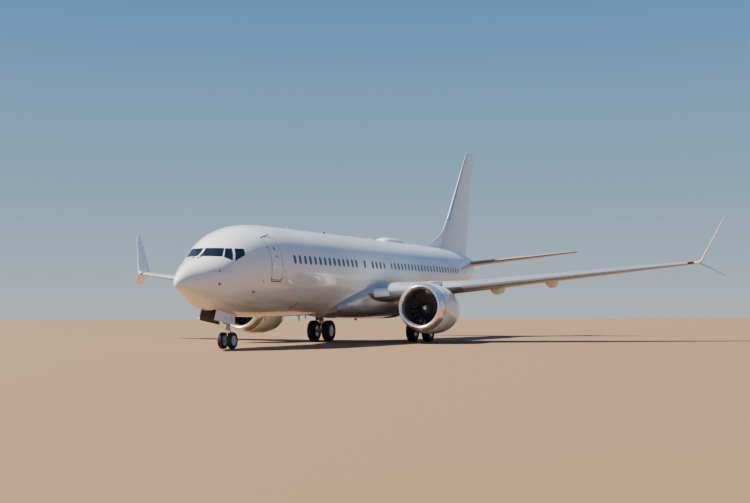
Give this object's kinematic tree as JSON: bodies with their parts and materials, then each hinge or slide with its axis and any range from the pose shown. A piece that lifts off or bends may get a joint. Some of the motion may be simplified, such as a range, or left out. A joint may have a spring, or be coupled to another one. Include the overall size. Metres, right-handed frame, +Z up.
{
  "type": "twin-engine single-aisle airliner",
  "caption": "Low-wing jet airliner parked on its gear, with underwing turbofans, split winglets, swept tail, doors, control surfaces and steerable nose wheels.",
  "frame": {"origin": "on the ground, midway along the length and span", "axes": "-Y forward through the nose, +X to port, +Z up"},
  "size_m": [35.9202, 39.52, 12.5],
  "materials": {
    "white_paint": "gloss white",
    "grey_paint": "satin light grey",
    "wing_skin": "satin grey",
    "bare_metal": "polished",
    "cockpit_glass": "dark, glossy",
    "hot_metal": "heat-tinted",
    "fan_blade": "dark satin",
    "gear_paint": "gloss grey",
    "tyre": "matt black"
  },
  "bodies": {
    "airframe": {"fuselage_nose": "white_paint", "fuselage_cabin": "white_paint", "tail_cone": "white_paint", "belly_fairing": "grey_paint", "antenna_dome": "white_paint", "cockpit_glass_left": "cockpit_glass", "cockpit_glass_right": "cockpit_glass", "entry_door_left": "white_paint", "entry_door_right": "white_paint", "aft_door_left": "white_paint", "aft_door_right": "white_paint", "cargo_door_forward": "white_paint", "cargo_door_aft": "white_paint", "wing_left": "wing_skin", "wing_right": "wing_skin", "slats_left": "bare_metal", "slats_right": "bare_metal", "inboard_flap_left": "wing_skin", "inboard_flap_right": "wing_skin", "outboard_flap_left": "wing_skin", "outboard_flap_right": "wing_skin", "winglet_left": "white_paint", "winglet_right": "white_paint", "inlet_lip_left": "bare_metal", "inlet_lip_right": "bare_metal", "fan_cowl_left": "white_paint", "fan_cowl_right": "white_paint", "reverser_sleeve_left": "white_paint", "reverser_sleeve_right": "white_paint", "engine_core_left": "hot_metal", "engine_core_right": "hot_metal", "pylon_left": "white_paint", "pylon_right": "white_paint", "fin": "white_paint", "stabilizer_left": "white_paint", "stabilizer_right": "white_paint", "nose_leg": "gear_paint", "nose_gear_door_left": "white_paint", "nose_gear_door_right": "white_paint", "main_leg_left": "gear_paint", "main_leg_right": "gear_paint"},
    "radome": {"radome": "white_paint"},
    "exit_forward_left": {"exit_forward_left": "white_paint"},
    "exit_forward_right": {"exit_forward_right": "white_paint"},
    "exit_aft_left": {"exit_aft_left": "white_paint"},
    "exit_aft_right": {"exit_aft_right": "white_paint"},
    "aileron_left": {"aileron_left": "wing_skin"},
    "aileron_right": {"aileron_right": "wing_skin"},
    "spoilers_left": {"spoilers_left": "wing_skin"},
    "spoilers_right": {"spoilers_right": "wing_skin"},
    "rudder": {"rudder": "white_paint"},
    "elevator_left": {"elevator_left": "white_paint"},
    "elevator_right": {"elevator_right": "white_paint"},
    "fan_left": {"fan_left": "fan_blade"},
    "fan_right": {"fan_right": "fan_blade"},
    "nose_fork": {"nose_fork": "gear_paint"},
    "nose_wheels": {"nose_wheels": "tyre"},
    "main_wheels_left": {"main_wheels_left": "tyre"},
    "main_wheels_right": {"main_wheels_right": "tyre"}
  },
  "joints": [
    {"name": "radome_hinge", "type": "hinge", "parent": "airframe", "child": "radome", "pos_m": [0, -18.51, 3.54], "axis": [-1, 0, 0], "range_deg": [0, 75]},
    {"name": "exit_forward_left_hinge", "type": "hinge", "parent": "airframe", "child": "exit_forward_left", "pos_m": [1.72981, -2.74, 4.303], "axis": [0, -1, 0], "range_deg": [0, 110]},
    {"name": "exit_forward_right_hinge", "type": "hinge", "parent": "airframe", "child": "exit_forward_right", "pos_m": [-1.72981, -2.74, 4.303], "axis": [0, 1, 0], "range_deg": [0, 110]},
    {"name": "exit_aft_left_hinge", "type": "hinge", "parent": "airframe", "child": "exit_aft_left", "pos_m": [1.73657, -1.695, 4.303], "axis": [0, -1, 0], "range_deg": [0, 110]},
    {"name": "exit_aft_right_hinge", "type": "hinge", "parent": "airframe", "child": "exit_aft_right", "pos_m": [-1.73657, -1.695, 4.303], "axis": [0, 1, 0], "range_deg": [0, 110]},
    {"name": "aileron_left_hinge", "type": "hinge", "parent": "airframe", "child": "aileron_left", "pos_m": [12.65, 3.04096, 3.62674], "axis": [0.9492, 0.2955, 0.108], "range_deg": [-20, 20]},
    {"name": "aileron_right_hinge", "type": "hinge", "parent": "airframe", "child": "aileron_right", "pos_m": [-12.65, 3.04096, 3.62674], "axis": [0.9492, -0.2955, -0.108], "range_deg": [-20, 20]},
    {"name": "spoilers_left_hinge", "type": "hinge", "parent": "airframe", "child": "spoilers_left", "pos_m": [6.35, 0.41407, 3.12848], "axis": [0.9391, 0.3313, 0.0915], "range_deg": [0, 38]},
    {"name": "spoilers_right_hinge", "type": "hinge", "parent": "airframe", "child": "spoilers_right", "pos_m": [-6.35, 0.41407, 3.12848], "axis": [0.9391, -0.3313, -0.0915], "range_deg": [0, 38]},
    {"name": "rudder_hinge", "type": "hinge", "parent": "airframe", "child": "rudder", "pos_m": [0, 15.39719, 5.72], "axis": [0, 0.4155, 0.9096], "range_deg": [-25, 25]},
    {"name": "elevator_left_hinge", "type": "hinge", "parent": "airframe", "child": "elevator_left", "pos_m": [1.25, 17.26935, 4.87784], "axis": [0.9386, 0.3247, 0.1167], "range_deg": [-20, 25]},
    {"name": "elevator_right_hinge", "type": "hinge", "parent": "airframe", "child": "elevator_right", "pos_m": [-1.25, 17.26935, 4.87784], "axis": [0.9386, -0.3247, -0.1167], "range_deg": [-20, 25]},
    {"name": "fan_left_spin", "type": "hinge", "parent": "airframe", "child": "fan_left", "pos_m": [4.83, -5.86, 1.78], "axis": [0, 0.9986, -0.0523], "continuous": true},
    {"name": "fan_right_spin", "type": "hinge", "parent": "airframe", "child": "fan_right", "pos_m": [-4.83, -5.86, 1.78], "axis": [0, 0.9986, -0.0523], "continuous": true},
    {"name": "nose_steering", "type": "hinge", "parent": "airframe", "child": "nose_fork", "pos_m": [0, -15.73, 0.76], "axis": [0, 0, 1], "range_deg": [-78, 78]},
    {"name": "nose_wheels_spin", "type": "hinge", "parent": "nose_fork", "child": "nose_wheels", "pos_m": [0, -15.73, 0.343], "axis": [1, 0, 0], "continuous": true},
    {"name": "main_wheels_left_spin", "type": "hinge", "parent": "airframe", "child": "main_wheels_left", "pos_m": [2.86, -0.16, 0.565], "axis": [1, 0, 0], "continuous": true},
    {"name": "main_wheels_right_spin", "type": "hinge", "parent": "airframe", "child": "main_wheels_right", "pos_m": [-2.86, -0.16, 0.565], "axis": [1, 0, 0], "continuous": true}
  ],
  "couplings": [
    {"joint": "aileron_right_hinge", "follows": "aileron_left_hinge", "ratio": -1},
    {"joint": "elevator_right_hinge", "follows": "elevator_left_hinge", "ratio": 1}
  ]
}
